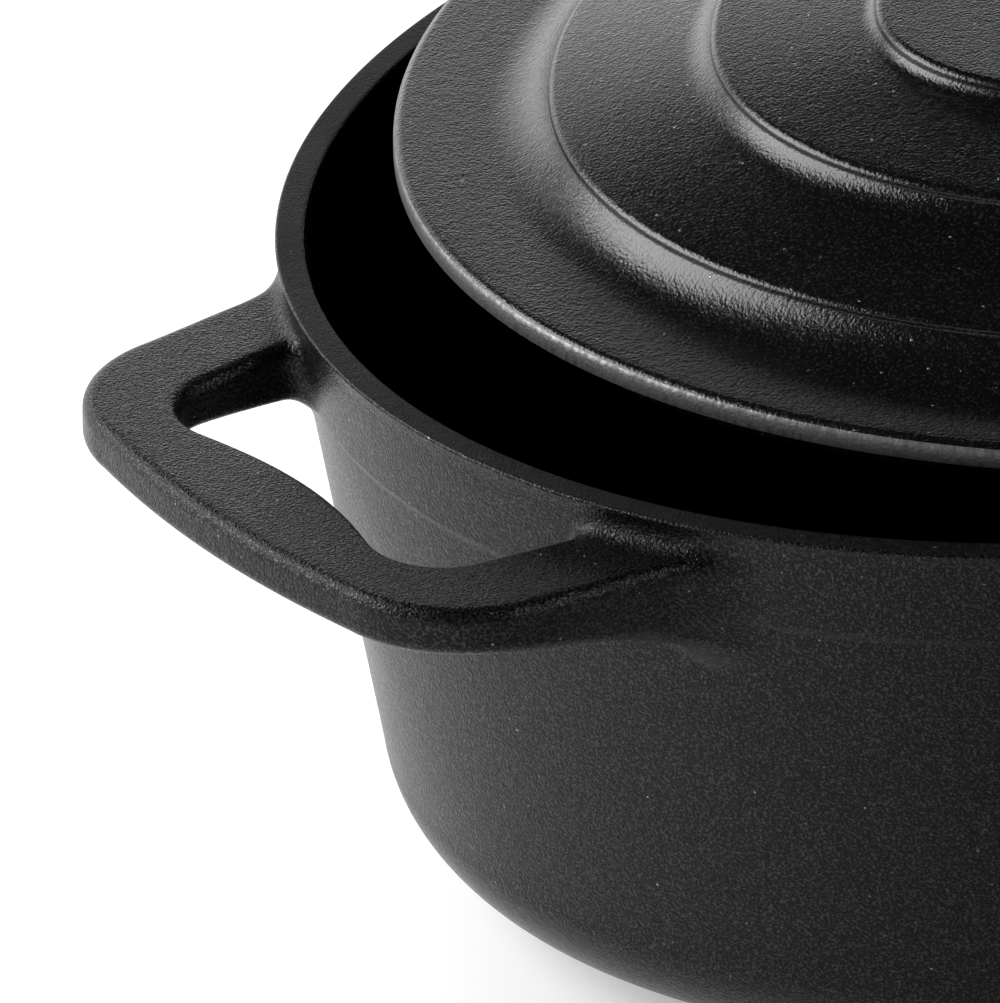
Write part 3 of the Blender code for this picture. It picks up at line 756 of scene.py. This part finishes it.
# The oil's gloss is weaker on the pot's wall than on the lid, and the pot is ground flat on its rim only
pot_iron = sand_cast_iron("seasoned_sand_cast_iron", colour="#050505", tip_colour="#3e3e3e", rough=0.26,
                          ior=1.24, grain_mm=0.48, grain_depth_mm=0.24, tips_from=0.49,
                          ground=(POT_HEIGHT - 0.08, POT_HEIGHT + 0.3), ground_colour="#1c1c1c")
# The lid's edge was ground round, which left short upright lines on its side
lid_iron = sand_cast_iron("seasoned_lid_iron", colour="#050505", tip_colour="#464646", rough=0.20,
                          ior=1.47, grain_mm=0.55, grain_depth_mm=0.12, tips_from=0.57,
                          ground=(LID_PLACE[2] + 0.3, LID_PLACE[2] + LID_EDGE_HEIGHT - 0.7),
                          ground_colour="#7c7c7c")
# Turned and then blackened, so that fine tool rings show in its satin. They are drawn 0.5 mm apart, because
# real ones, about 0.1 mm apart, are too fine to show
knob_iron = turned_metal("blackened_turned_iron", colour="#1c1c1c", worn="#262626", metallic=0.0,
                         rough_low=0.36, rough_high=0.48, line_mm=0.5)
# Zinc plating gives a pale, slightly uneven grey
screw_steel = turned_metal("zinc_plated_screw_steel", colour="#a9a9a6", worn="#c2c2be", metallic=1.0,
                           rough_low=0.28, rough_high=0.42, line_mm=0.3)

add_piece("cast_pot", make_pot_mesh(), "pot", "pot_body", pot_iron)
add_piece("cast_lid", make_lid_mesh(), "lid", "lid", lid_iron)
add_piece("turned_knob", make_knob_mesh(), "lid", "lid_knob", knob_iron)
add_piece("cap_screw", make_screw_mesh(), "lid", "knob_screw", screw_steel)
add_piece("plain_washer", make_washer_mesh(), "lid", "knob_washer", screw_steel)


# Floor, light and camera

def towards_left(tree, vector):
    """How far a place or direction lies to the left of the view, where the studio is white."""
    return add_node(tree, "ShaderNodeVectorMath", {0: vector, 1: LEFT_OF_VIEW},
                    operation="DOT_PRODUCT").outputs["Value"]


def studio_floor():
    """A pale floor with the object's soft shadow on it, and a glow of its own that keeps its left white."""
    bpy.ops.mesh.primitive_plane_add(size=16.0, location=(0.0, 0.0, 0.0))
    floor = bpy.context.object
    floor.name = "pale_floor"
    material = bpy.data.materials.new("pale_paper")
    material.use_nodes = True
    tree = material.node_tree
    shader = tree.nodes["Principled BSDF"]
    shader.inputs["Base Color"].default_value = linear("#c4c4c4")
    shader.inputs["Roughness"].default_value = 0.9
    shader.inputs["Specular IOR Level"].default_value = 0.1
    place = add_node(tree, "ShaderNodeTexCoord").outputs["Object"]
    glow = add_node(tree, "ShaderNodeMapRange",
                    {"Value": towards_left(tree, place), "From Min": 0.0, "From Max": 0.16,
                     "To Min": 0.0, "To Max": 0.68})
    shader.inputs["Emission Color"].default_value = WHITE
    tree.links.new(glow.outputs["Result"], shader.inputs["Emission Strength"])
    floor.data.materials.append(material)


def softbox(name, place, aim, wide, high, radiance):
    """A rectangular soft light of this brightness, where 1 is white."""
    light = bpy.data.lights.new(name, "AREA")
    light.shape = "RECTANGLE"
    light.size = wide
    light.size_y = high
    light.energy = radiance * math.pi * wide * high
    lamp = bpy.data.objects.new(name, light)
    bpy.context.scene.collection.objects.link(lamp)
    lamp.location = place
    lamp.rotation_euler = (Vector(aim) - Vector(place)).to_track_quat("-Z", "Y").to_euler()
    lamp.visible_camera = False


def studio_world():
    """A white backdrop low along the horizon at the left and behind, and a dim room above it and in front."""
    world = bpy.data.worlds.new("studio")
    bpy.context.scene.world = world
    world.use_nodes = True
    tree = world.node_tree
    background = tree.nodes["Background"]
    direction = add_node(tree, "ShaderNodeTexCoord").outputs["Generated"]
    height = add_node(tree, "ShaderNodeSeparateXYZ", {"Vector": direction}).outputs["Z"]
    level = add_node(tree, "ShaderNodeMapRange",
                     {"Value": height, "From Min": 0.10, "From Max": 0.24, "To Min": 1.0, "To Max": 0.04})
    side = add_node(tree, "ShaderNodeMapRange",
                    {"Value": towards_left(tree, direction), "From Min": -0.5, "From Max": 0.3,
                     "To Min": 0.3, "To Max": 1.0})
    level = add_node(tree, "ShaderNodeMath", {0: level.outputs["Result"], 1: side.outputs["Result"]},
                     operation="MULTIPLY")
    background.inputs["Color"].default_value = WHITE
    tree.links.new(level.outputs[0], background.inputs["Strength"])


def photo_camera():
    """The photograph's view, from a fit of the rim, handle, wall and lid edges."""
    camera = bpy.data.cameras.new("photo_camera")
    camera.sensor_width = 36.0
    camera.lens = CAMERA_LENS
    camera.clip_start, camera.clip_end = 0.1, 60.0
    seat = bpy.data.objects.new("photo_camera", camera)
    bpy.context.scene.collection.objects.link(seat)
    back = Vector((math.sin(PHOTO_AZIMUTH) * math.cos(PHOTO_ELEVATION),
                   -math.cos(PHOTO_AZIMUTH) * math.cos(PHOTO_ELEVATION), math.sin(PHOTO_ELEVATION)))
    right = Vector((math.cos(PHOTO_AZIMUTH), math.sin(PHOTO_AZIMUTH), 0.0))
    up = back.cross(right)
    seat.matrix_world = Matrix.Translation(CAMERA_PLACE) @ Matrix((right, up, back)).transposed().to_4x4()
    bpy.context.scene.camera = seat


studio_floor()
studio_world()
for box in SOFTBOXES:
    softbox(*box)
photo_camera()
bpy.context.scene.view_settings.view_transform = "Standard"
